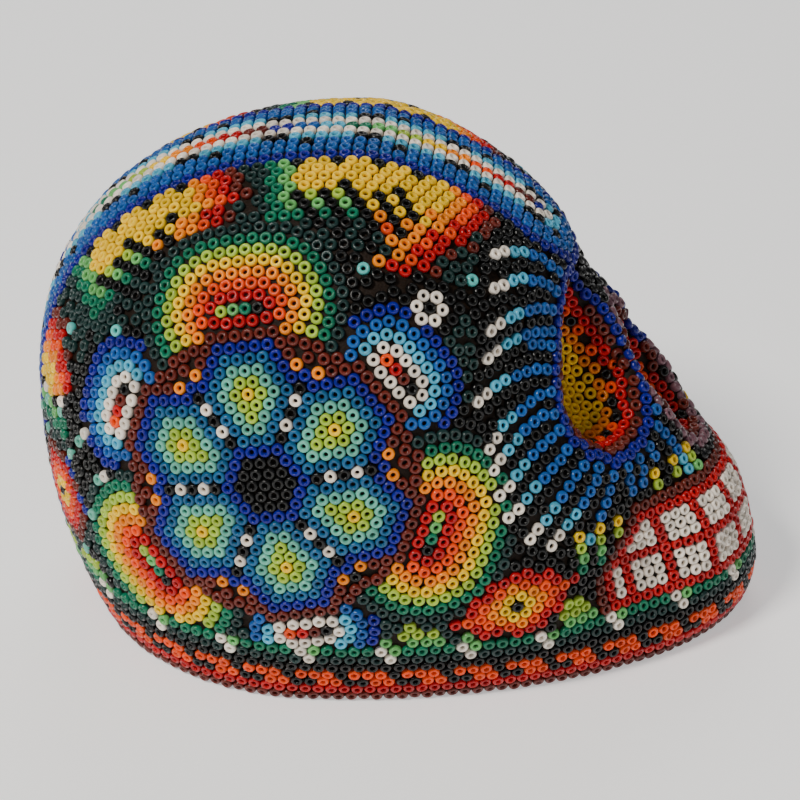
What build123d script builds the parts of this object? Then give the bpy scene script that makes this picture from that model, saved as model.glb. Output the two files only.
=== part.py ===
from build123d import *
import math
import os

# Beaded skull, millimetres. +X is the way the face looks, -Y is the skull's right side, +Z is up,
# and the flat base stands on Z = 0. A solid cast core carries a thin coat of beeswax, and glass
# seed beads are pressed into the wax. The beads of each motif are joined into one field one bead
# thick, because there are thousands of them.

# ---- driving dimensions ----
HEIGHT = 87.0
CROWN_X = -8.0  # the highest point of the cranium
BACK_REACH = 63.5  # from the head's own axis to the back of the head
FORWARD_SHIFT = 1.05  # moves the finished head so that the origin is under the middle of its length
BACK_Z = 40.0  # the height of the rearmost point
BACK_TUCK = 9.0  # how far the back draws in at the base
HALF_WIDTH = 45.1
WIDEST_Z = 31.0
SIDE_TUCK = 5.5
BROW_Z = 65.5
BROW_X = 27.2
BACK_POWER = 2.22  # dome shapes: 2 is a circle's arc, more is squarer
BROW_POWER = 1.4
SIDE_POWER = 2.23
BEAD_THICKNESS = 1.4
WAX_THICKNESS = 0.8
SKIN_GAP = 0.05  # left between one skin and the next, so that their faces don't coincide
BASE_RELIEF = 0.2  # the wax and beads stop this far above the ground
TRIM_DEPTH = 4.0  # the skins are drawn this far below the ground, then cut off flat
POLE_GAP = 0.15  # the small flat left at the very top of each skin

# Half of the face's outline on the middle plane: (height, how far forward).
FACE_LINE = [
    (-6.0, 57.5),
    (0.0, 59.3),
    (2.5, 60.8),
    (8.0, 61.4),
    (14.5, 60.2),
    (20.0, 58.6),
    (25.0, 56.6),
    (32.5, 49.8),
    (46.0, 41.8),
    (54.0, 36.6),
    (57.5, 33.8),
    (60.5, 30.4),
    (65.5, 27.2),
]
# The station of the greatest width, and the squareness of the front half: (height, value).
WIDEST_LINE = [(0.0, -15.5), (25.0, -11.0), (50.0, -7.0), (87.0, -8.0)]
FRONT_POWER_LINE = [
    (0.0, 1.85),
    (20.0, 1.85),
    (35.0, 1.7),
    (45.0, 1.62),
    (58.0, 1.62),
    (66.0, 1.85),
    (87.0, 2.0),
]
# Relief on the right side and the middle, mirrored on the left: centre, radii, height.
RELIEF = [
    ((31, -30, 37), (12, 12, 8), 1.8),  # cheekbone
    ((42, -28, 21), (10, 10, 9), -4.5),  # hollow between the cheekbone and the teeth
    ((22, -38, 54), (9, 12, 11), -2.0),  # temple
    ((46, 0, 39), (9, 12, 7), 2.6),  # lower edge of the nose
]

ROWS_LOW = 20
ROWS_TOP = 7
LOW_SHARE_Z = 76.0  # the rows are even up to here, then close up towards the pole
COLUMNS = 40

SOCKET_CENTRE = (32.2, -15.3, 53.1)
SOCKET_NORMAL = (0.75, -0.43, 0.50)
SOCKET_UP = (-0.29, 0.46, 0.84)
SOCKET_HALF_WIDTH = 10.6
SOCKET_TOP = 15.0
SOCKET_BOTTOM = 13.5
SOCKET_DEPTH = 11.0
NOSE_CENTRE = (42.0, 0.0, 45.0)
NOSE_NORMAL = (0.82, 0.0, 0.57)
NOSE_UP = (-0.57, 0.0, 0.82)
NOSE_HALF_WIDTH = 7.6
NOSE_TOP = 14.0
NOSE_BOTTOM = 13.0
NOSE_DEPTH = 8.0
RIM_WIDTH = 2.2  # the first row of beads on the rim belongs to the cavity's lining
CAVITY_STEPS = [(-0.9, 1.0), (0.0, 1.0), (0.5, 0.84), (0.85, 0.52), (1.0, 0.2)]  # depth share, size
TEAR_POINTS = 24
TEAR_POWER = 0.7  # more makes the top of a cavity's outline more pointed

ROSETTE_CENTRE = (-21.0, -43.3, 43.5)
ROSETTE_NORMAL = (-0.19, -0.97, 0.15)
ROSETTE_CORE_RADIUS = 6.7
PETAL_COUNT = 6
PETAL_RADIUS = 8.0
PETAL_PITCH_RADIUS = 15.2
PETAL_FIRST_ANGLE = 30.0
ROSETTE_RADIUS = 25.0
# Oval motifs on the right side: centre, outward normal, tilt from level, half length, half width.
OVALS = {
    "rainbow_arch_top": ((-23.5, -35.0, 67.0), (-0.22, -0.80, 0.55), 0, 17.0, 9.5),
    "rainbow_arch_front": ((6.6, -43.0, 33.0), (0.20, -0.98, 0.00), 45, 14.5, 8.5),
    "rainbow_arch_rear": ((-40.0, -37.0, 25.0), (-0.52, -0.85, -0.05), -52, 16.0, 8.5),
    "blue_oval_front": ((2.3, -39.0, 60.5), (0.16, -0.90, 0.41), -50, 14.5, 8.5),
    "blue_oval_base": ((-16.0, -44.0, 18.0), (-0.07, -0.99, -0.10), 0, 13.5, 6.5),
    "blue_oval_rear": ((-46.0, -30.0, 52.5), (-0.60, -0.76, 0.25), 78, 12.0, 8.0),
    "white_flower": ((4.2, -32.6, 71.0), (0.23, -0.75, 0.63), 0, 3.4, 3.4),
    "base_flower": ((20.5, -38.4, 19.5), (0.33, -0.93, -0.16), 25, 9.5, 6.5),
    "comb_front": ((-1.5, -20.0, 81.0), (0.05, -0.46, 0.88), -8, 21.0, 7.5),
    "comb_rear": ((-36.0, -20.0, 76.5), (-0.40, -0.50, 0.77), 25, 16.0, 7.5),
    "comb_back": ((-58.0, -14.5, 53.0), (-0.90, -0.35, 0.27), 80, 13.0, 6.5),
}
RAYS_RADIUS = 27.0
MOTIF_REACH = 14.0  # how far a motif's cutter goes each way from its centre, past the skin's curve
BAND_HALF_WIDTH = 11.0
BAND_FRONT_X = 24.0
ORANGE_BORDER_TOP = 9.6
GREEN_BORDER_TOP = 13.2
BORDER_SIZE = 200.0
TEETH_BACK_X = 33.0
TEETH_TOP = 31.5
LIP_TOP = 38.0
LIP_BACK_X = 36.0
BAND_LOW_Z = 30.0


def smooth(knots, at):
    """A smooth curve through the knots, with no overshoot between them."""
    last = len(knots) - 2
    slopes = []
    for (x0, y0), (x1, y1) in zip(knots, knots[1:]):
        slopes.append((y1 - y0) / (x1 - x0))
    tangents = [slopes[0]]
    for before, after in zip(slopes, slopes[1:]):
        tangents.append(0.0 if before * after <= 0 else 2 * before * after / (before + after))
    tangents.append(slopes[-1])
    i = next((k for k in range(last) if at <= knots[k + 1][0]), last)
    (x0, y0), (x1, y1) = knots[i], knots[i + 1]
    span = x1 - x0
    t = (at - x0) / span
    value = y0 * (1 + 2 * t) * (1 - t) ** 2 + y1 * t * t * (3 - 2 * t)
    return value + span * t * (1 - t) * (tangents[i] * (1 - t) - tangents[i + 1] * t)


def dome(z, start, reach, power):
    """How far a dome that begins at height start still reaches at height z."""
    share = min(max((z - start) / (HEIGHT - start), 0.0), 1.0)
    return reach * (1 - share**power) ** (1 / power)


def back_x(z):
    if z > BACK_Z:
        return CROWN_X - dome(z, BACK_Z, BACK_REACH + CROWN_X, BACK_POWER)
    return -BACK_REACH + BACK_TUCK * (1 - z / BACK_Z) ** BACK_POWER


def front_x(z):
    if z > BROW_Z:
        return CROWN_X + dome(z, BROW_Z, BROW_X - CROWN_X, BROW_POWER)
    return smooth(FACE_LINE, z)


def half_width(z):
    if z > WIDEST_Z:
        return dome(z, WIDEST_Z, HALF_WIDTH, SIDE_POWER)
    return HALF_WIDTH - SIDE_TUCK * (1 - z / WIDEST_Z) ** 2


def outline_point(angle, z):
    """A point on the level outline of the plain head at height z."""
    middle = smooth(WIDEST_LINE, z)
    c, s = math.cos(angle), math.sin(angle)
    power = smooth(FRONT_POWER_LINE, z) if c > 0 else 2.0
    reach = front_x(z) - middle if c > 0 else middle - back_x(z)
    x = middle + reach * math.copysign(abs(c) ** (2 / power), c)
    y = half_width(z) * math.copysign(abs(s) ** (2 / power), s)
    return Vector(x, y, z)


def row_heights():
    low = [-TRIM_DEPTH + (LOW_SHARE_Z + TRIM_DEPTH) * i / ROWS_LOW for i in range(ROWS_LOW)]
    top = HEIGHT - POLE_GAP - LOW_SHARE_Z
    return low + [LOW_SHARE_Z + top * math.sin(math.pi / 2 * i / ROWS_TOP) for i in range(ROWS_TOP + 1)]


def normals(grid):
    """The outward direction at each point of a closed grid of rows."""
    found = []
    for r, row in enumerate(grid):
        above = grid[min(r + 1, len(grid) - 1)]
        below = grid[max(r - 1, 0)]
        around = [row[(c + 1) % COLUMNS] - row[c - 1] for c in range(COLUMNS)]
        found.append([around[c].cross(above[c] - below[c]).normalized() for c in range(COLUMNS)])
    return found


def relief(point):
    """How far the bone stands out from the plain head at a point."""
    total = 0.0
    for (cx, cy, cz), (rx, ry, rz), height in RELIEF:
        dy = -abs(point.Y) - cy
        distance = ((point.X - cx) / rx) ** 2 + (dy / ry) ** 2 + ((point.Z - cz) / rz) ** 2
        total += height * math.exp(-distance)
    return total


def moved(grid, amount):
    """The grid with each point moved outward by amount(point)."""
    out = normals(grid)
    return [[p + n * amount(p) for p, n in zip(row, ns)] for row, ns in zip(grid, out)]


def skin_grid(inset):
    angles = [2 * math.pi * c / COLUMNS for c in range(COLUMNS)]
    plain = [[outline_point(a, z) for a in angles] for z in row_heights()]
    return moved(moved(plain, relief), lambda point: -inset)


def flattened(row):
    """The row with all its points at their mean height."""
    level = sum(p.Z for p in row) / len(row)
    return [Vector(p.X, p.Y, level) for p in row]


def head(inset, floor):
    """The closed head without cavities, inset evenly under the beads and cut flat at floor."""
    grid = skin_grid(inset)
    grid[0] = flattened(grid[0])
    grid[-1] = flattened(grid[-1])
    even = [i / COLUMNS for i in range(COLUMNS + 1)]
    rings = [Wire([Edge.make_spline(row, periodic=True, parameters=even)]) for row in grid]
    solid = Solid.make_loft(rings)
    keep = Box(400, 400, 200, align=(Align.CENTER, Align.CENTER, Align.MIN)).moved(Location((0, 0, floor)))
    return solid & keep


def tear_ring(plane, half_width, top, bottom, grow):
    """A teardrop outline, pointed at the top, in a plane whose y axis is up."""
    points = []
    for i in range(TEAR_POINTS):
        t = 2 * math.pi * i / TEAR_POINTS
        across = (half_width + grow) * math.sin(t) * math.sin(t / 2) ** TEAR_POWER
        along = math.cos(t) * ((top if math.cos(t) > 0 else bottom) + grow)
        points.append(plane.from_local_coords((across, along, 0)))
    return Wire([Edge.make_spline(points, periodic=True)])


def cavity(centre, normal, up, sizes, depth, grow):
    """The bowl-shaped space of an eye socket or the nose, grown evenly all round."""
    out = Vector(*normal).normalized()
    across = Vector(*up).cross(out)
    rings = []
    for share, size in CAVITY_STEPS:
        sink = depth * share + (grow if share > 0 else 0.0)
        plane = Plane(origin=Vector(*centre) - out * sink, x_dir=across, z_dir=out)
        half_width, top, bottom = (size * value for value in sizes)
        rings.append(tear_ring(plane, half_width, top, bottom, grow))
    return Solid.make_loft(rings)


def socket(grow):
    sizes = (SOCKET_HALF_WIDTH, SOCKET_TOP, SOCKET_BOTTOM)
    return cavity(SOCKET_CENTRE, SOCKET_NORMAL, SOCKET_UP, sizes, SOCKET_DEPTH, grow)


def nose(grow):
    sizes = (NOSE_HALF_WIDTH, NOSE_TOP, NOSE_BOTTOM)
    return cavity(NOSE_CENTRE, NOSE_NORMAL, NOSE_UP, sizes, NOSE_DEPTH, grow)


def skull(inset, floor):
    """The head with its eye sockets and nose, inset evenly under the beads."""
    right = socket(inset)
    return head(inset, floor) - right - mirror(right, about=Plane.XZ) - nose(inset)


def slab(x0, x1, y0, y1, z0, z1):
    box = Box(x1 - x0, y1 - y0, z1 - z0, align=(Align.MIN, Align.MIN, Align.MIN))
    return box.moved(Location((x0, y0, z0)))


def motif_plane(centre, normal, tilt):
    """A plane on the skin at a motif, x level and forward before it is tilted."""
    out = Vector(*normal).normalized()
    level = Vector(-out.Y, out.X, 0).normalized()
    return Plane(origin=Vector(*centre), x_dir=level, z_dir=out).rotated((0, 0, tilt))


def oval_cutter(plane, half_length, half_width):
    back = plane.offset(-MOTIF_REACH)
    return extrude(back * Ellipse(half_length, half_width), 2 * MOTIF_REACH, dir=plane.z_dir)


def write(name, shape):
    placed = shape.moved(Location((FORWARD_SHIFT, 0, 0)))
    placed.label = name
    export_step(placed, f"parts/{name}.step")


def write_middle(beads):
    """Writes the fields that cross the middle plane, and returns the rest of the bead skin."""
    far = BORDER_SIZE
    right_eye = socket(RIM_WIDTH)
    middle = {
        "orange_step_border": slab(-far, far, -far, far, 0, ORANGE_BORDER_TOP),
        "green_border": slab(-far, far, -far, far, 0, GREEN_BORDER_TOP),
        "nose_lining": nose(RIM_WIDTH),
        "eye_lining_right": right_eye,
        "eye_lining_left": mirror(right_eye, about=Plane.XZ),
        "teeth_panel": slab(TEETH_BACK_X, far, -far, far, 0, TEETH_TOP),
        "upper_lip": slab(LIP_BACK_X, far, -far, far, 0, LIP_TOP),
        "crown_band": slab(-far, BAND_FRONT_X, -BAND_HALF_WIDTH, BAND_HALF_WIDTH, BAND_LOW_Z, far),
    }
    for name, cutter in middle.items():
        write(name, beads & cutter)
        beads = beads - cutter
    return beads


def side_cutters():
    """The cutters of the right side's motifs, each before the ones it lies on top of."""
    rosette = motif_plane(ROSETTE_CENTRE, ROSETTE_NORMAL, 0)
    cutters = {"rosette_core": oval_cutter(rosette, ROSETTE_CORE_RADIUS, ROSETTE_CORE_RADIUS)}
    for i in range(PETAL_COUNT):
        angle = math.radians(PETAL_FIRST_ANGLE + 360 * i / PETAL_COUNT)
        place = (PETAL_PITCH_RADIUS * math.cos(angle), PETAL_PITCH_RADIUS * math.sin(angle), 0)
        petal = Plane(rosette.from_local_coords(place), x_dir=rosette.x_dir, z_dir=rosette.z_dir)
        cutters[f"rosette_petal_{i + 1}"] = oval_cutter(petal, PETAL_RADIUS, PETAL_RADIUS)
    cutters["rosette_field"] = oval_cutter(rosette, ROSETTE_RADIUS, ROSETTE_RADIUS)
    for name, (centre, normal, tilt, half_length, half_width) in OVALS.items():
        cutters[name] = oval_cutter(motif_plane(centre, normal, tilt), half_length, half_width)
    cutters["eye_rays"] = oval_cutter(motif_plane(SOCKET_CENTRE, SOCKET_NORMAL, 0), RAYS_RADIUS, RAYS_RADIUS)
    return cutters


def write_sides(beads):
    """Writes each side field of the right half, and its mirror image on the left."""
    far = BORDER_SIZE
    right = beads & slab(-far, far, -far, 0, 0, far)
    for name, cutter in side_cutters().items():
        field = right & cutter
        right = right - cutter
        write(f"{name}_right", field)
        write(f"{name}_left", mirror(field, about=Plane.XZ))
    write("dark_field_right", right)
    write("dark_field_left", mirror(right, about=Plane.XZ))


os.makedirs("parts", exist_ok=True)
core_inset = BEAD_THICKNESS + WAX_THICKNESS
write("core_form", skull(core_inset, 0.0))
write("wax_coat", skull(BEAD_THICKNESS, BASE_RELIEF) - skull(core_inset - SKIN_GAP, 0.0))
write_sides(write_middle(skull(0.0, BASE_RELIEF) - skull(BEAD_THICKNESS - SKIN_GAP, 0.0)))
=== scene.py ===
import bmesh
import bpy
import math
import random
import numpy as np
from mathutils import Matrix, Vector, noise
from mathutils.bvhtree import BVHTree


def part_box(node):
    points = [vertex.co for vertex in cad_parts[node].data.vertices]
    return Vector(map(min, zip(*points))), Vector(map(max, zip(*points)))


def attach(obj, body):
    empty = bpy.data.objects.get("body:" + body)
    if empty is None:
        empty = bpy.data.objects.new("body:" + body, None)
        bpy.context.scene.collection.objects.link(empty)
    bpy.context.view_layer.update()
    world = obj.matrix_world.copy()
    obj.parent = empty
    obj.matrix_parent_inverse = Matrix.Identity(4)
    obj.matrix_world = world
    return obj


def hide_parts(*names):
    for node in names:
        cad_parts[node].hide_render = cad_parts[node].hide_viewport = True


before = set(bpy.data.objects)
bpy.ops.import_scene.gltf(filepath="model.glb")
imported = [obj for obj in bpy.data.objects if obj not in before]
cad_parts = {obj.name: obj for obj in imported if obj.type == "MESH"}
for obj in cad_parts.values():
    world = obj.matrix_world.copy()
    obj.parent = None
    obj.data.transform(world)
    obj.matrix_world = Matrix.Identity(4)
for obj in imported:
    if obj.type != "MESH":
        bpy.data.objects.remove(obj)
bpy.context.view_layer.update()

# Beaded skull. Lengths below are millimetres unless a name says otherwise; MM turns them to metres.
# +X is the way the face looks, -Y is the skull's right side, +Z is up.

MM = 0.001
SEED = 11
PITCH = 2.16  # from one bead to the next along a row
ROW = 1.88  # from one close-packed row to the next
BEAD_RADIUS = 1.06
BEAD_HALF_HEIGHT = 0.7
BEAD_RISE = 1.5  # from the core's surface to the middle of a bead
WAX_DROP = 0.22  # the wax lies this far below the middle of a bead
BEAD_SEGMENTS = 16
CROWDED = 0.80  # a bead is left out where another is nearer than this share of the pitch
FILL_CLOSE = 0.90  # the same for the beads that fill in between the motifs
HOLE_CLOSE = 0.76  # the same for the beads put in the last holes
NEAR_MIDDLE = 0.3  # of the pitch: a bead nearer than this to the middle plane has no mirror image
WALK_STEP = 1.0
BASE_CLEAR = 1.25  # the height of the lowest beads' middle
BASE_SLACK = 0.95  # a bead may be pushed down to this share of that height
FAR_OUT = 120.0  # a ray towards the skull starts this far from its middle
VOXEL = 1.0  # of the remeshed bed

# Linear colours of the opaque glass.
COLOURS = {
    "yellow": (0.84, 0.53, 0.0),
    "amber": (0.82, 0.22, 0.0),
    "orange": (0.78, 0.058, 0.0),
    "red": (0.44, 0.002, 0.004),
    "brown": (0.115, 0.015, 0.009),
    "lime": (0.34, 0.49, 0.045),
    "light_green": (0.12, 0.40, 0.11),
    "green": (0.004, 0.145, 0.075),
    "dark_green": (0.010, 0.030, 0.028),
    "mint": (0.12, 0.42, 0.32),
    "turquoise": (0.10, 0.50, 0.46),
    "light_blue": (0.075, 0.38, 0.55),
    "blue": (0.008, 0.088, 0.33),
    "petal_blue": (0.010, 0.095, 0.22),
    "navy": (0.006, 0.007, 0.21),
    "white": (0.80, 0.72, 0.62),
    "black": (0.004, 0.004, 0.004),
    "mauve": (0.16, 0.075, 0.095),
}
SHADES = (0.86, 1.0, 1.12)  # each bead takes one of these shades of its colour


# ---- the bed that the beads sit on ----


def evaluated_mesh(obj):
    depsgraph = bpy.context.evaluated_depsgraph_get()
    return bpy.data.meshes.new_from_object(obj.evaluated_get(depsgraph))


def make_bed():
    """A smooth, evenly divided copy of the core, raised to the middle of the beads."""
    source = bpy.data.objects.new("bed_source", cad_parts["core_form"].data.copy())
    bpy.context.scene.collection.objects.link(source)
    remesh = source.modifiers.new("voxels", "REMESH")
    remesh.mode = "VOXEL"
    remesh.voxel_size = VOXEL * MM
    smooth = source.modifiers.new("smooth", "SMOOTH")
    smooth.factor = 0.5
    smooth.iterations = 4
    raise_up = source.modifiers.new("raise", "DISPLACE")
    raise_up.mid_level = 0.0
    raise_up.strength = BEAD_RISE * MM
    again = source.modifiers.new("smooth_again", "SMOOTH")
    again.factor = 0.5
    again.iterations = 3
    mesh = evaluated_mesh(source)
    bpy.data.objects.remove(source)
    return mesh


bed = make_bed()
bed_points = [v.co / MM for v in bed.vertices]
bed_normals = [v.normal.copy() for v in bed.vertices]
bed_faces = [tuple(p.vertices) for p in bed.polygons]
bed_tree = BVHTree.FromPolygons(bed_points, bed_faces)


def snap(point):
    """The nearest point of the bed and the smoothed outward direction there."""
    place, _, face, _ = bed_tree.find_nearest(point)
    normal = Vector()
    for v in bed_faces[face]:
        normal += bed_normals[v]
    return place, normal.normalized()


def cast(start, direction):
    """The place where a ray meets the bed and the outward direction there, or None if it misses."""
    place, _, face, _ = bed_tree.ray_cast(start, direction)
    return None if place is None else snap(place)


def flat(direction, normal):
    """The direction along the surface that is nearest to the given one."""
    return (direction - normal * direction.dot(normal)).normalized()


def walk(start, heading, distance):
    """Walks over the bed from start, and returns the end, its normal and the heading there."""
    place, normal = snap(start)
    heading = flat(heading, normal)
    left = distance
    while left > 1e-6:
        step = min(WALK_STEP, left)
        place, normal = snap(place + heading * step)
        heading = flat(heading, normal)
        left -= step
    return place, normal, heading


def turned(heading, normal, degrees):
    return Matrix.Rotation(math.radians(degrees), 3, normal) @ heading


def node_centre(name):
    """The place on the bed at the middle of a CAD node."""
    low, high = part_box(name)
    return snap((low + high) / 2 / MM)[0]


# ---- the beads laid so far ----

beads = []  # (place, normal, colour, fixed), where fixed is true for a motif's bead
cells = {}  # the indices of the beads in each cube of space, to find neighbours by


def cell(place):
    return tuple(math.floor(c / PITCH) for c in place)


def crowd(place, reach):
    """The indices of the beads nearer than reach to a place."""
    cx, cy, cz = cell(place)
    span = range(-1, 2) if reach <= PITCH else range(-2, 3)
    found = []
    for dx in span:
        for dy in span:
            for dz in span:
                for i in cells.get((cx + dx, cy + dy, cz + dz), ()):
                    if (beads[i][0] - place).length < reach:
                        found.append(i)
    return found


def lay(place, normal, colour, share=CROWDED, fixed=True):
    """Lays a bead unless another is in its way, and says if it did."""
    if place.z < BASE_CLEAR * BASE_SLACK or crowd(place, share * PITCH):
        return False
    beads.append((place.copy(), normal.copy(), colour, fixed))
    cells.setdefault(cell(place), []).append(len(beads) - 1)
    return True


def lay_both(place, normal, colour, share=CROWDED):
    """Lays a bead on the right side and its mirror image on the left."""
    if lay(place, normal, colour, share) and place.y < -NEAR_MIDDLE * PITCH:
        mirrored = Vector((place.x, -place.y, place.z))
        lay(mirrored, Vector((normal.x, -normal.y, normal.z)), colour, share)


def spread(line, pitch, closed, phase=0.0):
    """Points at even spacing, near pitch, along a line of places: (place, share of the length)."""
    ends = line + line[:1] if closed else line
    lengths = [0.0]
    for a, b in zip(ends, ends[1:]):
        lengths.append(lengths[-1] + (b - a).length)
    total = lengths[-1]
    count = max(1, round(total / pitch))
    stops = count if closed else count + 1
    found = []
    at = 0
    for k in range(stops):
        share = ((k + phase) / count) % 1.0 if closed else min((k + phase) / count, 1.0)
        want = share * total
        at = 0 if want < lengths[at] else at
        while at < len(lengths) - 2 and lengths[at + 1] < want:
            at += 1
        span = max(lengths[at + 1] - lengths[at], 1e-9)
        found.append((ends[at].lerp(ends[at + 1], (want - lengths[at]) / span), share))
    return found


def ring_line(spine, distance):
    """A closed line round a spine of (place, normal, heading) at a distance over the bed."""
    line = []
    for place, normal, heading in spine:
        line.append(walk(place, turned(heading, normal, 90), distance)[0])
    place, normal, heading = spine[-1]
    for degrees in range(75, -90, -15):
        line.append(walk(place, turned(heading, normal, degrees), distance)[0])
    for place, normal, heading in reversed(spine):
        line.append(walk(place, turned(heading, normal, -90), distance)[0])
    place, normal, heading = spine[0]
    for degrees in range(-105, -270, -15):
        line.append(walk(place, turned(heading, normal, degrees), distance)[0])
    return line


# ---- motifs ----

RAINBOW = ("red", "orange", "amber", "yellow", "lime", "green", "dark_green")
SKY = ("white", "light_blue", "blue", "navy")
ROSETTE_TURN = 13.0  # degrees from level to the rosette's first spoke of white beads
ROSETTE_REACH = 14  # beads from the rosette's centre to the corners of its lattice
LATTICE_PITCH = 0.985  # a lattice's beads lie at this share of the pitch
BAR_ROWS = 15  # the bars of the ovals and arches lie this many rows from the rosette's centre
EDGE_ROWS = 13.095  # rings nearer than this many rows to the rosette's centre turn brown
PETAL_RINGS = ("yellow", "lime", "mint", "petal_blue", "navy", "brown")


def hex_distance(a, b):
    return max(abs(a), abs(b), abs(a + b))


def petal_level(a, b):
    """Which ring of its petal a lattice place is in: the petal reaches one row towards the centre."""
    whole = hex_distance(a - 4, b - 4)
    inner = max(hex_distance(a - 3, b - 4), hex_distance(a - 4, b - 3))
    return min(whole, inner)


def rosette_colour(a, b):
    """The rosette's colour at a lattice place: six equal sectors, found by turning by 60 degrees."""
    distance = hex_distance(a, b)
    if distance <= 2:
        return "black"
    if distance == 3:
        return "navy"
    for _ in range(6):
        if b == 0 and 4 <= a <= 9:
            return ("black", "white", "black", "white", "black", "navy")[a - 4]
        if (a, b) in ((9, 1), (10, -1)):
            return "amber"
        a, b = -b, a + b
    level = 99
    for _ in range(6):
        level = min(level, petal_level(a, b))
        a, b = -b, a + b
    return PETAL_RINGS[level] if level < len(PETAL_RINGS) else None


def lay_lattice(centre, heading, reach, colour_at):
    """Lays a close-packed lattice round a centre, nearest places first."""
    _, normal = snap(centre)
    heading = flat(heading, normal)
    span = range(-reach, reach + 1)
    places = [(a, b) for a in span for b in span]
    places.sort(key=lambda ab: hex_distance(*ab))
    for a, b in places:
        colour = colour_at(a, b)
        if colour is None:
            continue
        u, v = a + b / 2, b * math.sqrt(3) / 2
        distance = math.hypot(u, v) * PITCH * LATTICE_PITCH
        angle = math.degrees(math.atan2(v, u))
        place, out, _ = walk(centre, turned(heading, normal, angle), distance)
        lay_both(place, out, colour)


def lay_rosette():
    centre = node_centre("rosette_core_right")
    _, normal = snap(centre)
    level = flat(Vector((1, 0, 0)), normal)
    heading = turned(level, normal, ROSETTE_TURN)
    lay_lattice(centre, heading, ROSETTE_REACH, rosette_colour)
    return centre, normal, heading


def lay_bar_motif(centre, out_heading, bar, rings, trim):
    """A bar of beads across the heading, with rings laid round it."""
    _, normal = snap(centre)
    along = turned(flat(out_heading, normal), normal, -90)
    half = (len(bar) - 1) * PITCH / 2
    place, out, back = walk(centre, -along, half)
    spine = [(place, out, -back)]
    lay_both(place, out, bar[0])
    for colour in bar[1:]:
        place, out, ahead = walk(place, spine[-1][2], PITCH)
        spine.append((place, out, ahead))
        lay_both(place, out, colour)
    for k, colour in enumerate(rings):
        line = ring_line(spine, (k + 1) * ROW)
        for point, _ in spread(line, PITCH, True, 0.5 * (k % 2)):
            place, out = snap(point)
            lay_both(place, out, trim(place) or colour)


def lay_surround(centre, normal, heading):
    """The three arches and three ovals round the rosette."""
    warm = ("orange", "red", "brown", "black")
    cool = ("lime", "light_green", "green", "black")
    bars = {
        90: (cool, RAINBOW), 330: (cool, RAINBOW), 210: (cool[::-1], RAINBOW),
        30: (warm, SKY), 270: (warm[::-1], SKY), 150: (warm, SKY),
    }  # for each angle round the rosette: the bar's colours and the rings' colours

    def trim(place):
        return "brown" if (place - centre).length < EDGE_ROWS * ROW else None

    for degrees, (bar, rings) in bars.items():
        out_heading = turned(heading, normal, degrees)
        place, _, ahead = walk(centre, out_heading, BAR_ROWS * ROW)
        lay_bar_motif(place, ahead, bar, rings, trim)


# ---- rows round the base ----

OUTLINE_STEPS = 240
OUTLINE_HUB_X = -8.0  # an outline's places are found from this far behind the middle of the box
BASE_TOP_ROW = 7
BASE_REPEAT = 12  # the beads round the foot are a whole number of these
FOOT = {
    0: (1, (0,), "brown", "brown"),
    1: (1, (0,), "red", "red"),
    2: (4, (0, 1), "orange", "black"),
    3: (4, (0, 1, 2), "orange", "black"),
    4: (4, (), "black", "black"),
    5: (6, (5,), "white", "dark_green"),
    6: (6, (0,), "white", "green"),
    7: (4, (3, 0, 1), "light_green", None),
    8: (4, (0, 1, 2), "lime", None),
    9: (4, (0, 1), "lime", None),
}  # for each row: its repeat in beads, which of them take the first colour, the first and other colour


def level_line(z):
    """The bed's outline at a height, from straight ahead round the right side and back."""
    line = []
    for i in range(OUTLINE_STEPS):
        angle = -2 * math.pi * i / OUTLINE_STEPS
        away = Vector((math.cos(angle), math.sin(angle), 0))
        place, _ = cast(Vector((OUTLINE_HUB_X, 0, z)) + away * FAR_OUT, -away)
        line.append(place)
    return line


def foot_lines():
    """The rows' lines going up the skull's foot, each one row further over the bed."""
    rows = [level_line(BASE_CLEAR)]
    for _ in range(len(FOOT) - 1):
        rows.append([walk(p, Vector((0, 0, 1)), ROW)[0] for p in rows[-1]])
    return rows


def line_length(line, closed):
    ends = line + line[:1] if closed else line
    return sum((b - a).length for a, b in zip(ends, ends[1:]))


def lay_foot(lines, first, last):
    """Lays the rows of the foot's pattern from first up to last, every row with as many beads."""
    length = line_length(lines[BASE_TOP_ROW], True)
    count = BASE_REPEAT * round(length / PITCH / BASE_REPEAT)
    for row in range(first, last):
        repeat, places, colour, other = FOOT[row]
        pitch = line_length(lines[row], True) / count
        for i, (point, _) in enumerate(spread(lines[row], pitch, True, 0.5 * (row % 2))):
            shade = colour if i % repeat in places else other
            if shade == "green" and i % repeat == repeat - 1:
                shade = "light_green"
            if shade and point.y < NEAR_MIDDLE * PITCH:
                place, out = snap(point)
                lay_both(place, out, shade)


# ---- eye sockets and nose ----

SOCKET_NORMAL = Vector((0.75, -0.43, 0.50)).normalized()
SOCKET_UP = Vector((-0.29, 0.46, 0.84))
NOSE_NORMAL = Vector((0.82, 0.0, 0.57)).normalized()
NOSE_UP = Vector((-0.57, 0.0, 0.82))
EYE_ROWS = ("navy", "brown", "red", "orange_black", "amber", "yellow", "yellow", "yellow", "yellow")
NOSE_ROWS = ("mauve", "brown", "red", "orange", "amber", "yellow", "yellow", "yellow")
CAVITY_SPOKES = 72
CAVITY_WHOLE = 0.8  # a row is laid if at least this share of the spokes reach as deep
CAVITY_ROW = 1.8  # rows lie closer in a hollow, where the beads lean together
CAVITY_CROWDED = 0.72  # of the pitch
RIM_OUT = 0.8  # from the last place seen from inside to the middle of the rim's row
CAVITY_HUB = 5.5  # from a cavity's floor to the point that its wall is seen from
CAVITY_APPROACH = 30.0  # the floor is found by a ray from this far in front
CAVITY_MOUTH = 0.3  # a place counts as inside a cavity if it is deeper than this
CAVITY_JUMP = 2.5  # a longer step than this along the wall means that the view has left the cavity
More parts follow.
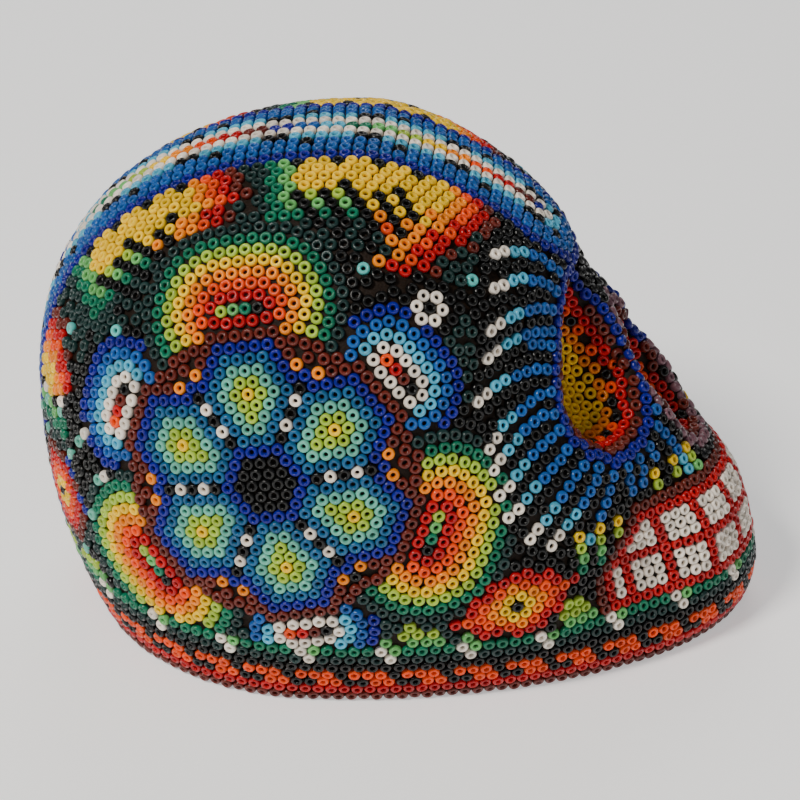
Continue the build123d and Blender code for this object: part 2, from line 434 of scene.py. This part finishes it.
CAVITY_SPACES = (
    (Vector((33.2, -15.3, 53.1)), SOCKET_NORMAL, SOCKET_UP, EYE_ROWS, (7.6, 12.0)),
    (Vector((43.0, 0.0, 45.0)), NOSE_NORMAL, NOSE_UP, NOSE_ROWS, (5.5, 12.0)),
)  # for each cavity: its mouth's middle, the ways out and up, its rows, its half width and half height


def cavity_axes(node, axis, up):
    """The middle of a cavity's lining, and the two directions across the cavity's axis."""
    points = [v.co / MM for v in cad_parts[node].data.vertices]
    middle = sum(points, Vector()) / len(points)
    across = up.cross(axis).normalized()
    above = axis.cross(across).normalized()
    return middle, across, above


def cavity_trail(hub, spoke, axis):
    """Places up a cavity's wall, from its floor to its rim, in the plane of a spoke and the axis."""
    trail = []
    for tilt in range(-88, 89):
        t = math.radians(tilt)
        hit, _, _, _ = bed_tree.ray_cast(hub, spoke * math.cos(t) + axis * math.sin(t))
        if hit is None:
            break
        if trail and (hit - trail[-1]).length > CAVITY_JUMP:
            break
        trail.append(hit)
    return trail


def cavity_lines(node, axis, up, rows):
    """Lines of bead places down a cavity's wall, from its rim inward, and the cavity's middle."""
    middle, across, above = cavity_axes(node, axis, up)
    deepest, _ = cast(middle + axis * CAVITY_APPROACH, -axis)
    hub = deepest + axis * CAVITY_HUB
    lines = [[] for _ in range(rows)]
    for i in range(CAVITY_SPOKES):
        angle = 2 * math.pi * i / CAVITY_SPOKES
        spoke = across * math.cos(angle) + above * math.sin(angle)
        trail = cavity_trail(hub, spoke, axis)
        lengths = [0.0]
        for a, b in zip(trail, trail[1:]):
            lengths.append(lengths[-1] + (b - a).length)
        lines[0].append(walk(trail[-1], spoke, RIM_OUT)[0])
        for k in range(1, rows):
            want = lengths[-1] + RIM_OUT - k * CAVITY_ROW
            if want < 0:
                continue
            at = next((j for j in range(len(trail) - 1) if lengths[j + 1] >= want), 0)
            span = max(lengths[at + 1] - lengths[at], 1e-9)
            lines[k].append(trail[at].lerp(trail[at + 1], (want - lengths[at]) / span))
    return lines, middle


def lay_cavity(node, axis, up, colours, place_bead):
    """Lays a cavity's rows with lay or lay_both, and returns its rim and its middle."""
    lines, middle = cavity_lines(node, axis, up, len(colours))
    for k, colour in enumerate(colours):
        if len(lines[k]) < CAVITY_SPOKES * CAVITY_WHOLE or line_length(lines[k], True) < 2 * PITCH:
            continue
        for i, (point, _) in enumerate(spread(lines[k], PITCH, True, 0.5 * (k % 2))):
            place, out = snap(point)
            shade = ("orange", "black")[i % 2] if colour == "orange_black" else colour
            place_bead(place, out, shade, CAVITY_CROWDED)
    return lines[0], middle


# ---- rays round the eye, stripes on the lip and cheek ----

RAY_COLOURS = ("blue", "blue", "blue", "blue", "light_blue", "light_blue", "white", "white")
RAY_PITCH = 3.3  # between rays round the rim
RAY_BEND = 6.5  # degrees of turn at each bead
RAY_DOWN = Vector((-0.75, 0.0, -0.7))  # the way the rays bend to
RAY_FROM, RAY_TO = 98, 372  # the rays lie between these degrees round the socket's axis
SHORT_RAY = 4  # beads in the rays beside the nose
SHORT_FROM = 320  # degrees round the socket's axis to the first of them
SHORT_DOWN = Vector((0.2, 0.0, -1.0))  # the way they start
STRIPE_DOWN = Vector((0.1, 0.0, -1.0))  # the way the stripes run
MIDDLE_GAP = 1.0  # the rays stop this far from the middle plane
LIP_STRIPE = ("yellow", "lime", "light_green", "green", "dark_green")
STRIPE_RUNS = (
    (33.5, 2.6, 5.3, 5, LIP_STRIPE),
    (29.5, 32.0, 4.3, 3, LIP_STRIPE[:4]),
)  # height, way round the face from its middle to the first stripe, gap, number of stripes, colours


def bent(heading, normal, aim, degrees):
    """The heading turned towards an aim over the surface, by at most the given angle."""
    goal = flat(aim, normal)
    between = math.degrees(heading.angle(goal))
    sense = 1 if normal.dot(heading.cross(goal)) > 0 else -1
    return turned(heading, normal, sense * min(degrees, between))


def lay_rays(rim, middle):
    """Rays of beads that start square to the eye socket's rim and bend down and back."""
    across = SOCKET_UP.cross(SOCKET_NORMAL).normalized()
    above = SOCKET_NORMAL.cross(across)
    starts = [point for point, _ in spread(rim, RAY_PITCH, True)]
    for before, point, after in zip(starts[-1:] + starts, starts, starts[1:] + starts[:1]):
        offset = point - middle
        angle = math.degrees(math.atan2(offset.dot(above), offset.dot(across))) % 360
        angle += 360 if angle < RAY_FROM - 80 else 0
        if not RAY_FROM <= angle <= RAY_TO:
            continue
        place, normal = snap(point)
        heading = flat((after - before).cross(SOCKET_NORMAL), normal)
        heading = heading if heading.dot(offset) > 0 else -heading
        colours = RAY_COLOURS
        if angle > SHORT_FROM:
            heading = flat(SHORT_DOWN, normal)
            colours = RAY_COLOURS[:SHORT_RAY]
        for colour in colours:
            place, normal, heading = walk(place, heading, PITCH)
            if place.y > -MIDDLE_GAP:
                break
            lay_both(place, normal, colour)
            heading = bent(heading, normal, RAY_DOWN, RAY_BEND)


def lay_stripes():
    """Short stripes of beads running down the lip and cheek."""
    for height, first, gap, count, colours in STRIPE_RUNS:
        line = level_line(height)
        for k in range(count):
            place, normal = snap(along_line(line, first + k * gap))
            heading = flat(STRIPE_DOWN, normal)
            for colour in colours:
                lay_both(place, normal, colour)
                place, normal, heading = walk(place, heading, ROW)


# ---- teeth ----

TOOTH = 4  # three beads and one of the grid
TEETH_ROWS = 10
TEETH_REACH = 17  # beads of grid each side of the middle
TEETH_TAPER = 1.0  # beads the grid narrows by at each row above the fourth
TEETH_ROW = 1.8  # from one row of the teeth to the next
TEETH_BEHIND = 3  # the line under the teeth starts this far behind their panel


def along_line(line, want):
    """The point at a distance along an open line."""
    for a, b in zip(line, line[1:]):
        step = (b - a).length
        if want <= step:
            return a.lerp(b, want / max(step, 1e-9))
        want -= step
    return line[-1]


def tooth_colour(row, i, reach):
    """The teeth panel's colour at the i-th bead from the middle of a row that reaches so many beads."""
    if row == TEETH_ROWS - 1 or abs(i) > reach + 1:
        return "brown"
    if row % TOOTH == 0 or abs(i) > reach or i % TOOTH == 0:
        return "red"
    return "white"


def lay_teeth(foot):
    """Two rows of three-by-three teeth in a red grid, over the foot's rows at the front."""
    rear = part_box("teeth_panel")[0].x / MM - TEETH_BEHIND
    front = sorted((p for p in foot if p.x > rear), key=lambda p: p.y)
    for row in range(TEETH_ROWS):
        line = [walk(p, Vector((0, 0, 1)), ROW + row * TEETH_ROW)[0] for p in front]
        middle = line_length([p for p in line if p.y < 0.01], False)
        reach = TEETH_REACH - round(max(row - 3, 0) * TEETH_TAPER)
        for i in range(-reach - 2, 1):
            want = middle + i * PITCH
            if want < 0:
                continue
            place, out = snap(along_line(line, want))
            lay_both(place, out, tooth_colour(row, i, reach))


# ---- crown band and combs ----

BAND_FRONT = 22.0  # x of the band's front end
BAND_HUB = Vector((-6.0, 0.0, 40.0))  # angles along the band are about this point
BAND_BACK = 188  # degrees round the hub, from straight ahead
BAND_CYCLE = (
    "lime", "yellow", "amber", "orange", "red", "brown",
    "navy", "blue", "light_blue", "green", "light_green",
)
BAND_ROWS = 6
BAND_MIDDLE = 0.4  # of the pitch: how far past the middle plane a bead of the band's right half may lie
COMB_ROWS = 11
COMBS = ((186, 160, 6, 7), (158, 112.5, 8, 8), (113.5, 58, 9, 11))  # from, to, rows at each end
COMB_FRONT = 4  # beads in the warm block at a comb's front end
COMB_REAR = 3  # beads in the green block at its rear end
COMB_COOL = 5  # columns before this one shade to green, and the others to brown


def crown_spine():
    """The middle line of the head from the band's back end to its front end."""
    spine = []
    for degrees in range(BAND_BACK, 30, -2):
        a = math.radians(degrees)
        away = Vector((math.cos(a), 0, math.sin(a)))
        place, normal = cast(BAND_HUB + away * FAR_OUT, -away)
        if place.x > BAND_FRONT:
            break
        place.y = 0
        spine.append((place, normal, flat(Vector((normal.z, 0, -normal.x)), normal)))
    return spine


def band_colour(row, i):
    """The crown band's colour at the i-th bead of a row, counted out from the band's middle."""
    if row == 0:
        return BAND_CYCLE[i // 2 % len(BAND_CYCLE)]
    if row == 1:
        return "white"
    if row == 2:
        return "black" if i % 7 in (5, 6) else "light_blue"
    if row == 3:
        return "black" if i % 7 == 5 else "blue"
    return ("blue", "navy")[row - 4]


def warm_colour(step):
    """From yellow through orange to brown as the step grows from 0 to 5."""
    return ("yellow", "yellow", "amber", "orange", "red", "brown")[min(max(round(step), 0), 5)]


def cool_colour(step):
    """From yellow through lime to dark green as the step grows from 0 to 5."""
    return ("yellow", "yellow", "lime", "light_green", "green", "dark_green")[min(max(round(step), 0), 5)]


def comb_colour(k, count, depth, rows):
    """The colour of the k-th of count beads from a comb's rear end, or None past its slanting front."""
    ahead = count - 1 - k - 0.5 * max(depth - 3, 0)
    if ahead < 0:
        return None
    if ahead < COMB_FRONT:
        return warm_colour(5 - ahead)
    if k < COMB_REAR:
        return cool_colour(max(4.6 - k, depth - 2.2))
    column = k - depth // 2
    if column % 2 and depth >= (3 if column % 4 == 1 else 4):
        return "black"
    if depth == 0 and k % 3 == 0:
        return "black"
    if column < COMB_COOL:
        return cool_colour(depth - 2.4)
    return warm_colour((depth - 3.4) * 8.5 / rows)


def lay_comb_row(line, depth):
    """Lays one row of every comb along a line beside the crown band, from each comb's rear end."""
    right = [p for p in line if p.y < 0]
    angles = [math.degrees(math.atan2(p.z - BAND_HUB.z, p.x - BAND_HUB.x)) % 360 for p in right]
    for start, end, rear_rows, front_rows in COMBS:
        part = [p for p, a in sorted(zip(right, angles), key=lambda pair: -pair[1]) if end <= a <= start]
        count = int(line_length(part, False) / PITCH) if len(part) > 1 else 0
        for k in range(count):
            if depth > rear_rows + (front_rows - rear_rows) * k / count:
                continue
            colour = comb_colour(k, count, depth, front_rows)
            if colour:
                place, out = snap(along_line(part, (k + 0.5 * (depth % 2)) * PITCH))
                lay_both(place, out, colour)


def lay_crown():
    """Lays the band along the top of the head, then the combs on each side of it."""
    spine = crown_spine()
    for i, (point, _) in enumerate(spread([s[0] for s in spine], PITCH, False)):
        place, out = snap(point)
        place.y = 0
        lay(place, out, band_colour(0, i))
    for row in range(1, BAND_ROWS):
        for i, (point, _) in enumerate(spread(ring_line(spine, row * ROW), PITCH, True, 0.5 * (row % 2))):
            if point.y <= BAND_MIDDLE * PITCH:
                place, out = snap(point)
                lay_both(place, out, band_colour(row, i))
    for depth in range(COMB_ROWS + 1):
        lay_comb_row(ring_line(spine, (BAND_ROWS + depth) * ROW), depth)


DOT_RUNS = (
    (87, 61, 17, 14, 5),
    (151, 150, 13, 17, 3),
    (156, 170, 10, 10, 4),
)  # from and to degrees round the band's hub, rows from the band's middle at each end, number of dots


def beside_band(degrees, rows):
    """The place on the right side that many rows from the band's middle line."""
    a = math.radians(degrees)
    away = Vector((math.cos(a), 0, math.sin(a)))
    place, _ = cast(BAND_HUB + away * FAR_OUT, -away)
    return walk(place, Vector((0, -1, 0)), rows * ROW)


def lay_dots():
    """Single turquoise beads under the combs."""
    for start, end, start_rows, end_rows, count in DOT_RUNS:
        for k in range(count):
            share = k / (count - 1)
            rows = start_rows + (end_rows - start_rows) * share
            place, out, _ = beside_band(start + (end - start) * share, rows)
            lay_both(place, out, "turquoise")


# ---- small flowers ----

BASE_FLOWER_LEAN = Vector((1.0, 0.0, 0.25))  # the way the base flower's long axis points
BASE_FLOWER_LONG = 1.55  # its length over its height
BASE_FLOWER_RINGS = ((0.4, "black"), (1.2, "yellow"), (1.9, "amber"), (2.6, "orange"), (3.25, "red"))
FLOWER_REACH = 6  # beads from the centre of a small flower's lattice to its corners
NAPE_FLOWER = Vector((-58.0, -20.0, 26.0))
NAPE_DOTS = (("mint", 7.2), ("white", 8.2))  # colour, pitches from the nape flower's centre
NAPE_DOT_ANGLES = range(-150, -20, 26)  # degrees from the left, so the dots lie above the flower


def white_flower_colour(a, b):
    return ("black", "white")[hex_distance(a, b)] if hex_distance(a, b) < 2 else None


def base_flower_colour(a, b):
    """A flower drawn out to a point at each end of its long axis."""
    u, v = (a + b / 2) / BASE_FLOWER_LONG, b * math.sqrt(3) / 2
    level = (abs(u) ** 1.25 + abs(v) ** 1.25) ** 0.8
    for limit, colour in BASE_FLOWER_RINGS:
        if level < limit:
            return colour
    return None


def nape_flower_colour(a, b):
    """A small round flower: rings from black out to red, a navy and brown edge, six mint tips."""
    distance = hex_distance(a, b)
    if distance < 4:
        return ("black", "yellow", "orange", "red")[distance]
    if distance == 4:
        return "navy" if (a * b) % 2 or a * b == 0 else "brown"
    if distance == 5 and (a == 0 or b == 0 or a == -b):
        return "mint"
    return None


def lay_flowers():
    lay_lattice(node_centre("white_flower_right"), Vector((1, 0, 0)), 1, white_flower_colour)
    lay_lattice(node_centre("base_flower_right"), BASE_FLOWER_LEAN, FLOWER_REACH, base_flower_colour)
    left = Vector((0, 1, 0))
    lay_lattice(NAPE_FLOWER, left, FLOWER_REACH, nape_flower_colour)
    place, normal = snap(NAPE_FLOWER)
    for degrees in NAPE_DOT_ANGLES:
        ahead = turned(flat(left, normal), normal, degrees)
        for colour, distance in NAPE_DOTS:
            spot, out, _ = walk(place, ahead, distance * PITCH)
            lay_both(spot, out, colour)


# ---- filling in ----

PATCH_SCALE = 0.09  # of the noise that sets where the filling is green and where it is black
PATCH_OFFSET = Vector((5, 3, 1))
COMB_FIELD = (12, 52)  # behind this x and above this z the filling is mostly dark green
COMB_GREEN = -0.08  # it is green there where the noise is above this
FOOT_FIELD = 24  # below this z it is partly dark green
FOOT_GREEN = 0.1  # the same for the foot
FILL_REACH = 2.02  # pitches between two beads that a third may lie beside
FILL_LEAST = 0.3  # the least square of the third bead's distance from the line between them
FILL_SNAP = 1.2  # the most that a guessed place may be off the bed
RELAX_REACH = 0.99  # of the pitch: beads nearer than this push each other apart
RELAX_FIXED, RELAX_LOOSE = 0.25, 0.45  # the share of the push that a bead follows in one round
RELAX_LEAST = 0.01  # a shorter push than this is left out


def cavity_colour(place):
    """The colour that belongs at a place inside an eye socket or the nose, or None outside them."""
    point = Vector((place.x, -abs(place.y), place.z))
    for centre, axis, up, rows, (half_width, half_height) in CAVITY_SPACES:
        offset = point - centre
        across = offset.dot(up.cross(axis)) / half_width
        along = offset.dot(up) / half_height
        depth = -axis.dot(offset)
        if depth > CAVITY_MOUTH and across**2 + along**2 < 1:
            colour = rows[min(int(depth / CAVITY_ROW) + 1, len(rows) - 1)]
            return "orange" if colour == "orange_black" else colour
    return None


def fill_colour(place):
    """The colour of a bead between the motifs."""
    inside = cavity_colour(place)
    if inside:
        return inside
    shade = noise.noise(place * PATCH_SCALE + PATCH_OFFSET)
    if place.x < COMB_FIELD[0] and place.z > COMB_FIELD[1]:
        return "dark_green" if shade > COMB_GREEN else "black"
    return "dark_green" if place.z < FOOT_FIELD and shade > FOOT_GREEN else "black"


def fill():
    """Lays beads outward from those already laid, wherever a third fits beside two."""
    queue = list(range(len(beads)))
    head = 0
    while head < len(queue):
        index = queue[head]
        head += 1
        place, normal = beads[index][0], beads[index][1]
        for other in crowd(place, FILL_REACH * PITCH):
            if other == index:
                continue
            q = beads[other][0]
            gap = (q - place).length
            rise = math.sqrt(max(PITCH * PITCH - gap * gap / 4, FILL_LEAST))
            side = normal.cross(q - place).normalized()
            for sign in (-1, 1):
                guess = (place + q) / 2 + side * (rise * sign)
                spot, out = snap(guess)
                if spot.z < BASE_CLEAR or (spot - guess).length > FILL_SNAP:
                    continue
                if lay(spot, out, fill_colour(spot), FILL_CLOSE, False):
                    queue.append(len(beads) - 1)


def fill_holes():
    """Lays a bead at every point of the bed where there is still room for one."""
    for place, normal in zip(bed_points, bed_normals):
        if place.z >= BASE_CLEAR:
            lay(place, normal, fill_colour(place), HOLE_CLOSE, False)


def relax(rounds):
    """Pushes crowded beads apart over the bed; the motifs' beads give way least."""
    for _ in range(rounds):
        cells.clear()
        for i, bead in enumerate(beads):
            cells.setdefault(cell(bead[0]), []).append(i)
        shifts = []
        for i, (place, normal, _, fixed) in enumerate(beads):
            shift = Vector()
            for j in crowd(place, PITCH * RELAX_REACH):
                if j == i:
                    continue
                away = place - beads[j][0]
                short = PITCH * RELAX_REACH - away.length
                if away.length > 1e-6:
                    shift += away.normalized() * short
            shifts.append(shift * (RELAX_FIXED if fixed else RELAX_LOOSE))
        for i, (place, normal, colour, fixed) in enumerate(beads):
            if shifts[i].length < RELAX_LEAST:
                continue
            spot, out = snap(place + shifts[i])
            if spot.z >= BASE_CLEAR * BASE_SLACK:
                beads[i] = (spot, out, colour, fixed)


# ---- meshes ----

TILT_SPREAD = 0.07  # the beads' small differences in tilt, size and height
SIZE_SPREAD = 0.018
LIFT_SPREAD = 0.05
DRAW_STEP = 7  # between one bead's seed and the next bead's
WAX_FLOOR = 0.25  # the wax is cut off this far above the ground
PROFILE = (
    (1.0, 0.0), (0.95, 0.27), (0.82, 0.44), (0.63, 0.5),
    (0.45, 0.42), (0.33, 0.18), (0.31, -0.5), (0.8, -0.5),
)  # radius as a share of the bead's, height as a share of its thickness


def bead_template():
    """The points and faces of one bead, its hole along Z, from its profile turned round."""
    points = []
    for s in range(BEAD_SEGMENTS):
        a = 2 * math.pi * s / BEAD_SEGMENTS
        for radius, height in PROFILE:
            across = radius * BEAD_RADIUS
            points.append((across * math.cos(a), across * math.sin(a), height * 2 * BEAD_HALF_HEIGHT))
    faces = []
    n = len(PROFILE)
    for s in range(BEAD_SEGMENTS):
        t = (s + 1) % BEAD_SEGMENTS
        for k in range(n):
            m = (k + 1) % n
            faces.append((s * n + k, t * n + k, t * n + m, s * n + m))
    return np.array(points, np.float32), np.array(faces, np.int32)


def bead_frame(normal, index):
    """A rotation that stands a bead's hole along its normal, slightly tilted, and its random draws."""
    draw = random.Random(index * DRAW_STEP + SEED)
    lean = Vector([draw.gauss(0, TILT_SPREAD) for _ in range(3)])
    return (normal + lean).normalized().to_track_quat("Z", "Y").to_matrix(), draw


def bead_object(name, members):
    """One mesh of the given beads, with a material for each shade of each colour among them."""
    points, faces = bead_template()
    n, f = len(points), len(faces)
    all_points = np.empty((len(members) * n, 3), np.float32)
    all_faces = np.empty((len(members) * f, 4), np.int32)
    slots = np.empty(len(members) * f, np.int32)
    names = sorted({beads[i][2] for i in members})
    shades = [(colour, s) for colour in names for s in range(len(SHADES))]
    for k, i in enumerate(members):
        place, normal, colour, _ = beads[i]
        turn, draw = bead_frame(normal, i)
        size = 1 + draw.gauss(0, SIZE_SPREAD)
        lift = draw.gauss(0, LIFT_SPREAD)
        middle = np.array(place + normal * lift, np.float32)
        moved = points * size @ np.array(turn, np.float32).T + middle
        all_points[k * n:(k + 1) * n] = moved
        all_faces[k * f:(k + 1) * f] = faces + k * n
        slots[k * f:(k + 1) * f] = shades.index((colour, draw.randrange(len(SHADES))))
    mesh = bpy.data.meshes.new(name)
    mesh.vertices.add(len(all_points))
    mesh.vertices.foreach_set("co", (all_points * MM).ravel())
    mesh.loops.add(all_faces.size)
    mesh.loops.foreach_set("vertex_index", all_faces.ravel())
    mesh.polygons.add(len(all_faces))
    mesh.polygons.foreach_set("loop_start", np.arange(0, all_faces.size, 4, dtype=np.int32))
    for colour, s in shades:
        mesh.materials.append(bead_material(colour, s))
    mesh.polygons.foreach_set("material_index", slots)
    mesh.update(calc_edges=True)
    mesh.polygons.foreach_set("use_smooth", np.ones(len(all_faces), bool))
    obj = bpy.data.objects.new(name, mesh)
    bpy.context.scene.collection.objects.link(obj)
    return obj


def bead_material(colour, shade):
    """Opaque pressed glass in one shade of a colour, with a slightly wavy gloss."""
    name = f"glass_{colour}_{shade}"
    if name in bpy.data.materials:
        return bpy.data.materials[name]
    material = bpy.data.materials.new(name)
    material.use_nodes = True
    nodes, links = material.node_tree.nodes, material.node_tree.links
    shader = nodes["Principled BSDF"]
    shader.inputs["Base Color"].default_value = [*(c * SHADES[shade] for c in COLOURS[colour]), 1]
    shader.inputs["Roughness"].default_value = 0.16
    shader.inputs["IOR"].default_value = 1.45
    shader.inputs["Specular IOR Level"].default_value = 0.4
    waves = nodes.new("ShaderNodeTexNoise")
    waves.inputs["Scale"].default_value = 900.0
    waves.inputs["Detail"].default_value = 1.0
    bump = nodes.new("ShaderNodeBump")
    bump.inputs["Strength"].default_value = 0.12
    bump.inputs["Distance"].default_value = 0.0002
    links.new(waves.outputs["Fac"], bump.inputs["Height"])
    links.new(bump.outputs["Normal"], shader.inputs["Normal"])
    return material


def mottled_material(name, dark, light, roughness, scale):
    """A dull, unevenly coloured and slightly lumpy material, such as wax or a rough casting."""
    material = bpy.data.materials.new(name)
    material.use_nodes = True
    nodes, links = material.node_tree.nodes, material.node_tree.links
    shader = nodes["Principled BSDF"]
    shader.inputs["Roughness"].default_value = roughness
    shader.inputs["Specular IOR Level"].default_value = 0.15
    mottle = nodes.new("ShaderNodeTexNoise")
    mottle.inputs["Scale"].default_value = scale
    mottle.inputs["Detail"].default_value = 4.0
    ramp = nodes.new("ShaderNodeValToRGB")
    ramp.color_ramp.elements[0].color = (*dark, 1)
    ramp.color_ramp.elements[1].color = (*light, 1)
    bump = nodes.new("ShaderNodeBump")
    bump.inputs["Strength"].default_value = 0.5
    bump.inputs["Distance"].default_value = 0.0003
    links.new(mottle.outputs["Fac"], ramp.inputs["Fac"])
    links.new(ramp.outputs["Color"], shader.inputs["Base Color"])
    links.new(mottle.outputs["Fac"], bump.inputs["Height"])
    links.new(bump.outputs["Normal"], shader.inputs["Normal"])
    return material


def finish_core():
    """Gives the cast core, which shows on the underside, its own material."""
    resin = mottled_material("cast_resin", (0.009, 0.006, 0.004), (0.024, 0.016, 0.011), 0.55, 60.0)
    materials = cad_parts["core_form"].data.materials
    materials.clear()
    materials.append(resin)


def make_wax():
    """The wax surface between the beads, cut off flat just above the ground."""
    shape = bmesh.new()
    shape.from_mesh(bed)
    for v in shape.verts:
        v.co -= v.normal * (WAX_DROP * MM)
    cut = bmesh.ops.bisect_plane(
        shape,
        geom=[*shape.verts, *shape.edges, *shape.faces],
        plane_co=(0, 0, WAX_FLOOR * MM),
        plane_no=(0, 0, -1),
        clear_outer=True,
    )
    rim = [e for e in cut["geom_cut"] if isinstance(e, bmesh.types.BMEdge)]
    bmesh.ops.contextual_create(shape, geom=rim)
    mesh = bpy.data.meshes.new("wax_surface")
    shape.to_mesh(mesh)
    shape.free()
    mesh.polygons.foreach_set("use_smooth", np.ones(len(mesh.polygons), bool))
    beeswax = mottled_material("dark_beeswax", (0.004, 0.0022, 0.0012), (0.020, 0.010, 0.005), 0.6, 260.0)
    mesh.materials.append(beeswax)
    wax = bpy.data.objects.new("wax_surface", mesh)
    bpy.context.scene.collection.objects.link(wax)
    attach(wax, "root")
    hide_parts("wax_coat")


def sort_beads():
    """The beads of each CAD field, by which field's outer face each bead lies in."""
    fields = [n for n in sorted(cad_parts) if n not in ("core_form", "wax_coat")]
    points, faces, owners = [], [], []
    for name in fields:
        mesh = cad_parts[name].data
        first = len(points)
        points += [v.co / MM for v in mesh.vertices]
        for p in mesh.polygons:
            faces.append(tuple(first + v for v in p.vertices))
            owners.append(name)
    tree = BVHTree.FromPolygons(points, faces)
    groups = {name: [] for name in fields}
    for i, (place, normal, _, _) in enumerate(beads):
        _, _, face, _ = tree.find_nearest(place + normal * BEAD_HALF_HEIGHT)
        groups[owners[face]].append(i)
    return groups


def make_beadwork():
    """Makes one object of beads for each CAD field, in that field's place."""
    for name, members in sort_beads().items():
        if not members:
            continue
        obj = bead_object(f"beads_{name}", members)
        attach(obj, "root")
        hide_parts(name)


# ---- camera, light and floor ----

EYE_DISTANCE = 450.0
EYE_ELEVATION = 28.8  # degrees above level
EYE_AZIMUTH = 2.3  # degrees from square to the skull's right side
EYE_ROLL = 1.31  # degrees
EYE_LENS = 118.9
HEAD_MIDDLE = Vector((1.05, 0, 44.0))
AIM_RIGHT = -2.06  # the camera looks this far to the right of the head's middle: negative is left
AIM_UP = -7.38  # and this far above it: negative is below


def make_camera():
    e, a, roll = (math.radians(v) for v in (EYE_ELEVATION, EYE_AZIMUTH, EYE_ROLL))
    right = Vector((math.cos(a), math.sin(a), 0))
    up = Vector((-math.sin(a) * math.sin(e), math.cos(a) * math.sin(e), math.cos(e)))
    back = right.cross(up)
    level, upright = right, up
    right = level * math.cos(roll) + upright * math.sin(roll)
    up = upright * math.cos(roll) - level * math.sin(roll)
    eye = HEAD_MIDDLE + back * EYE_DISTANCE
    aim = HEAD_MIDDLE + right * AIM_RIGHT + up * AIM_UP
    back = (eye - aim).normalized()
    right = up.cross(back).normalized()
    up = back.cross(right)
    data = bpy.data.cameras.new("camera")
    data.lens = EYE_LENS
    data.sensor_width = 36
    data.clip_start = 0.01
    camera = bpy.data.objects.new("camera", data)
    rotation = Matrix((right, up, back)).transposed()
    camera.matrix_world = Matrix.Translation(eye * MM) @ rotation.to_4x4()
    bpy.context.scene.collection.objects.link(camera)
    bpy.context.scene.camera = camera


LIT_PLACE = Vector((0, 0, 0.04))  # metres
FLOOR_HALF = 4.0  # metres


def area_light(name, place, size, power, colour):
    """A round light at a place in metres, aimed at the skull."""
    data = bpy.data.lights.new(name, "AREA")
    data.shape = "DISK"
    data.size = size
    data.energy = power
    data.color = colour
    light = bpy.data.objects.new(name, data)
    light.location = place
    light.rotation_euler = (LIT_PLACE - Vector(place)).to_track_quat("-Z", "Y").to_euler()
    bpy.context.scene.collection.objects.link(light)


def make_studio():
    area_light("key", (-0.45, -0.45, 0.80), 0.25, 9.0, (1.0, 0.96, 0.90))
    area_light("fill", (0.5, -0.9, 0.30), 0.7, 1.3, (0.95, 0.97, 1.0))
    area_light("back", (0.0, 0.8, 0.7), 0.6, 2.5, (1.0, 1.0, 1.0))
    world = bpy.data.worlds.new("studio")
    world.use_nodes = True
    world.node_tree.nodes["Background"].inputs["Color"].default_value = (1, 1, 1, 1)
    world.node_tree.nodes["Background"].inputs["Strength"].default_value = 0.16
    bpy.context.scene.world = world
    mesh = bpy.data.meshes.new("floor")
    corners = [(x * FLOOR_HALF, y * FLOOR_HALF, 0) for x, y in ((-1, -1), (1, -1), (1, 1), (-1, 1))]
    mesh.from_pydata(corners, [], [(0, 1, 2, 3)])
    floor = bpy.data.objects.new("floor", mesh)
    material = bpy.data.materials.new("pale_floor")
    material.use_nodes = True
    shader = material.node_tree.nodes["Principled BSDF"]
    shader.inputs["Base Color"].default_value = (0.9, 0.9, 0.9, 1)
    shader.inputs["Emission Color"].default_value = (1, 1, 1, 1)
    shader.inputs["Emission Strength"].default_value = 0.5
    shader.inputs["Roughness"].default_value = 0.8
    mesh.materials.append(material)
    bpy.context.scene.collection.objects.link(floor)


# ---- make everything ----

make_camera()
make_studio()
foot = foot_lines()
lay_foot(foot, 0, BASE_TOP_ROW)
eye_rim, eye_middle = lay_cavity("eye_lining_right", SOCKET_NORMAL, SOCKET_UP, EYE_ROWS, lay_both)
lay_cavity("nose_lining", NOSE_NORMAL, NOSE_UP, NOSE_ROWS, lay)
lay_teeth(foot[BASE_TOP_ROW - 1])
rosette = lay_rosette()
lay_flowers()
lay_stripes()
lay_rays(eye_rim, eye_middle)
lay_surround(*rosette)
lay_crown()
lay_dots()
lay_foot(foot, BASE_TOP_ROW, len(FOOT))
fill()
relax(6)
fill_holes()
relax(14)
finish_core()
make_wax()
make_beadwork()
